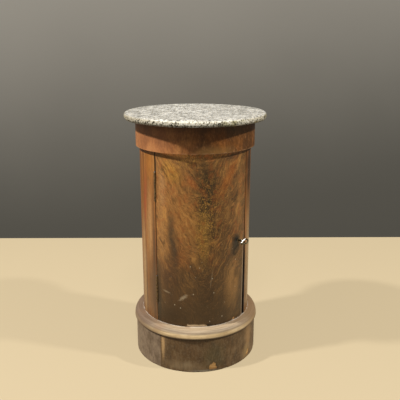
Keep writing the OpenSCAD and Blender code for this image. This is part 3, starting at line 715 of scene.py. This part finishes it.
def metal(name, clean, stained, metallic, roughness):
    """Old metal: clean in some places, and stained in clouds and specks in others."""
    paint = Paint(name)
    point = paint.vector(*paint.place())
    clouds = paint.noise(point, scale=190.0, detail=4.0, roughness=0.65)
    specks = paint.noise(point, scale=1100.0, detail=2.0)
    share = (clouds.fade(0.3, 0.72) + specks.fade(0.6, 0.75) * 0.25).clip()
    colour = paint.mix(share, clean, stained)
    rough = share * 0.25 + roughness
    return paint.surface(colour, rough, clouds * 0.6 + specks * 0.4, 0.025 * MM, metallic=metallic)


def key_steel():
    """Dark old steel with a painted highlight on the straight side of the bow, and rubbed bright a little
    here and there.
    """
    paint = Paint("key_steel")
    x, y, up = paint.place()
    radius = paint.length(x, y)
    bar_r = DRUM_R + 15.5 * MM
    clouds = paint.noise(paint.vector(x, y, up), scale=260.0, detail=4.0, roughness=0.65)
    # Painted highlight along the straight side of the bow
    bow_highlight = radius.fade(bar_r - 3.2 * MM, bar_r - 2.2 * MM) * radius.fade(bar_r + 3.4 * MM, bar_r + 2.0 * MM)
    bright = (bow_highlight + clouds.fade(0.6, 0.75) * 0.25).clip()
    colour = paint.mix(bright, srgb(84, 78, 54), srgb(232, 228, 216))
    rough = bright * -0.1 + clouds * 0.2 + 0.3
    return paint.surface(colour, rough, clouds, 0.06 * MM, metallic=0.85)


# ---- Stage ----


def placed(name, data):
    """A new object of the scene, made of a mesh, a light or a camera."""
    made = bpy.data.objects.new(name, data)
    bpy.context.scene.collection.objects.link(made)
    return made


def sheet_of(name, corners, material):
    """One flat face of the stage."""
    mesh = bpy.data.meshes.new(name)
    mesh.from_pydata([Vector(corner) for corner in corners], [], [range(len(corners))])
    mesh.materials.append(material)
    made = placed(name, mesh)
    return made


def floor_paint():
    """Plain pale paint with a trace of cloud. Its glow thins the shadows that fall on it."""
    paint = Paint("floor_paint")
    base = (116, 104, 82)
    clouds = paint.noise(paint.vector(*paint.place()), scale=1.3, detail=3.0)
    darker = srgb(*(0.9 * channel for channel in base))
    colour = paint.mix(clouds.fade(0.2, 0.8) * 0.12, srgb(*base), darker)
    return paint.surface(colour, 0.6, emission_color=srgb(181, 163, 129), emission_strength=1.0)


def wall_paint():
    """Grey paint, with painted light that makes it lighter upwards and to the left. Its back is see-through.
    """
    paint = Paint("wall_paint")
    x, y, up = paint.place()
    shade = up - x * 0.14 + paint.noise(paint.vector(x, y, up), scale=1.6, detail=3.0) * 0.25
    colour = paint.mix(shade.fade(0.2, 1.5), srgb(85, 82, 74), srgb(129, 124, 114))
    material = paint.surface(colour, 0.8, specular_ior_level=0.1)
    front = paint.tree.nodes["Principled BSDF"].outputs[0]
    back = paint.node("BsdfTransparent")
    facing = paint.node("NewGeometry", output="Backfacing")
    both = paint.node("MixShader", {0: facing, 1: Signal(paint, front), 2: back})
    paint.tree.links.new(both.socket, paint.tree.nodes["Material Output"].inputs["Surface"])
    return material


def stage():
    """A pale floor, and behind the cupboard a grey wall that neither shades nor hides it."""
    reach = 8.0
    wall_y = 1.0
    wall_h = 4.0
    floor = [(-reach, -reach, 0), (reach, -reach, 0), (reach, reach, 0), (-reach, reach, 0)]
    ground = sheet_of("floor", floor, floor_paint())
    ground.visible_diffuse = False
    wall = [(-reach, wall_y, 0), (reach, wall_y, 0), (reach, wall_y, wall_h), (-reach, wall_y, wall_h)]
    backdrop = sheet_of("wall", wall, wall_paint())
    backdrop.rotation_euler.z = VIEW_AZ
    backdrop.visible_diffuse = False
    backdrop.visible_shadow = False


def lamp(name, azimuth, elevation, distance, size, power):
    """A square soft light that looks at the middle of the cupboard."""
    target = Vector((0, 0, 0.45))
    light = bpy.data.lights.new(name, "AREA")
    light.size = size
    light.energy = power
    made = placed(name, light)
    a = math.radians(azimuth)
    e = math.radians(elevation)
    back = Vector((math.sin(a) * math.cos(e), -math.cos(a) * math.cos(e), math.sin(e)))
    made.location = target + back * distance
    made.rotation_euler = back.to_track_quat("Z", "Y").to_euler()


def lights():
    """Crisp light from the left and the right, soft light from overhead, and an even sky."""
    lamp("left_light", azimuth=-79, elevation=50, distance=5.0, size=0.25, power=310)
    lamp("right_light", azimuth=62, elevation=46, distance=5.0, size=0.25, power=210)
    lamp("overhead_light", azimuth=-9, elevation=57, distance=3.5, size=0.6, power=36)
    world = bpy.data.worlds.new("sky")
    world.use_nodes = True
    sky = world.node_tree.nodes["Background"]
    sky.inputs["Color"].default_value = (1.0, 1.0, 1.0, 1.0)
    sky.inputs["Strength"].default_value = 0.14
    bpy.context.scene.world = world


def camera():
    """The photograph's view."""
    place = Vector((VIEW_DISTANCE * math.sin(VIEW_AZ), -VIEW_DISTANCE * math.cos(VIEW_AZ), VIEW_HEIGHT))
    data = bpy.data.cameras.new("camera")
    data.sensor_width = SENSOR_MM
    data.lens = LENS_MM
    data.clip_end = 50.0
    made = placed("camera", data)
    turn = Matrix.Rotation(VIEW_AZ - VIEW_AIM, 4, "Z")
    tip = Matrix.Rotation(math.pi / 2 - VIEW_PITCH, 4, "X")
    made.matrix_world = Matrix.Translation(place) @ turn @ tip
    bpy.context.scene.camera = made


# ---- Finishes ----


def pine(names):
    """Bare pine: its grain runs up the staves, round the drum in the brick courses and along the boards."""
    colours = srgb(122, 82, 44), srgb(176, 130, 78), srgb(200, 158, 104)
    upright = bare_wood("pine_upright", *colours, "upright")
    boards = bare_wood("pine_boards", *colours, "along")
    bricks = bare_wood("pine_bricks", srgb(160, 106, 52), srgb(200, 146, 80), srgb(222, 174, 108), "round")
    for name in names:
        if "stave" in name:
            dress(upright, name)
        elif "course" in name:
            dress(bricks, name)
        else:
            dress(boards, name)


def finishes():
    """Gives every CAD node its material, by its slot in the record."""
    nodes_of = {}
    for row in frame["record"]["subparts"]:
        nodes_of.setdefault(row["material_slot"], []).append(row["node"])
    pine(nodes_of["pine"])
    finish_of = {
        "marble": marble(),
        "door_mahogany": door_veneer(),
        "drum_mahogany": drum_veneer(),
        "frieze_mahogany": frieze_veneer(),
        "plinth_mahogany": plinth_veneer(),
        "moulding_mahogany": moulding(),
        "solid_mahogany": solid_mahogany(),
        "hinge_brass": metal("hinge_brass", srgb(132, 104, 66), srgb(70, 54, 34), 0.55, 0.5),
        "steel": metal("steel", srgb(130, 124, 116), srgb(84, 62, 46), 0.8, 0.45),
        "lock_steel": metal("lock_steel", srgb(150, 146, 140), srgb(96, 84, 72), 0.85, 0.4),
        "key_steel": key_steel(),
    }
    for slot, material in finish_of.items():
        dress(material, *nodes_of[slot])


finishes()
stage()
lights()
camera()
bpy.context.scene.view_settings.view_transform = "Standard"
